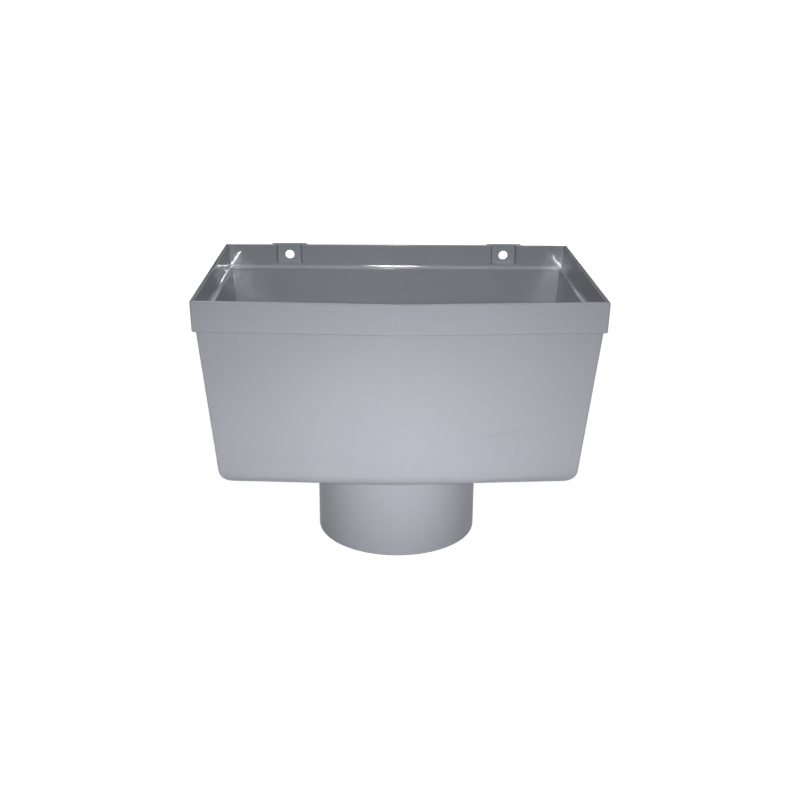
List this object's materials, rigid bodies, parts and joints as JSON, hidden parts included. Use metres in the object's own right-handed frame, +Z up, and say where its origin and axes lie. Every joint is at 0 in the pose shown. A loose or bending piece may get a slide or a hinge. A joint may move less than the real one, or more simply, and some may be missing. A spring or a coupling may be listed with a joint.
{
  "type": "downpipe hopper head",
  "caption": "Open-topped tapered hopper head with a stepped rim, a shallow prow front, a round spigot under its floor and screw lugs behind its rim; gathers roof water into a downpipe.",
  "frame": {"origin": "middle of the spigot's lower end, on the spigot's axis", "axes": "+X along the wall, left to right as seen from the front; +Y back towards the wall; +Z up, from the spigot to the rim"},
  "size_m": [0.224, 0.1595, 0.17],
  "materials": {
    "grey_pvc": "smooth moulded grey PVC, semi-gloss outside and glossier inside"
  },
  "bodies": {
    "root": {"hopper_head": "grey_pvc"}
  },
  "joints": []
}
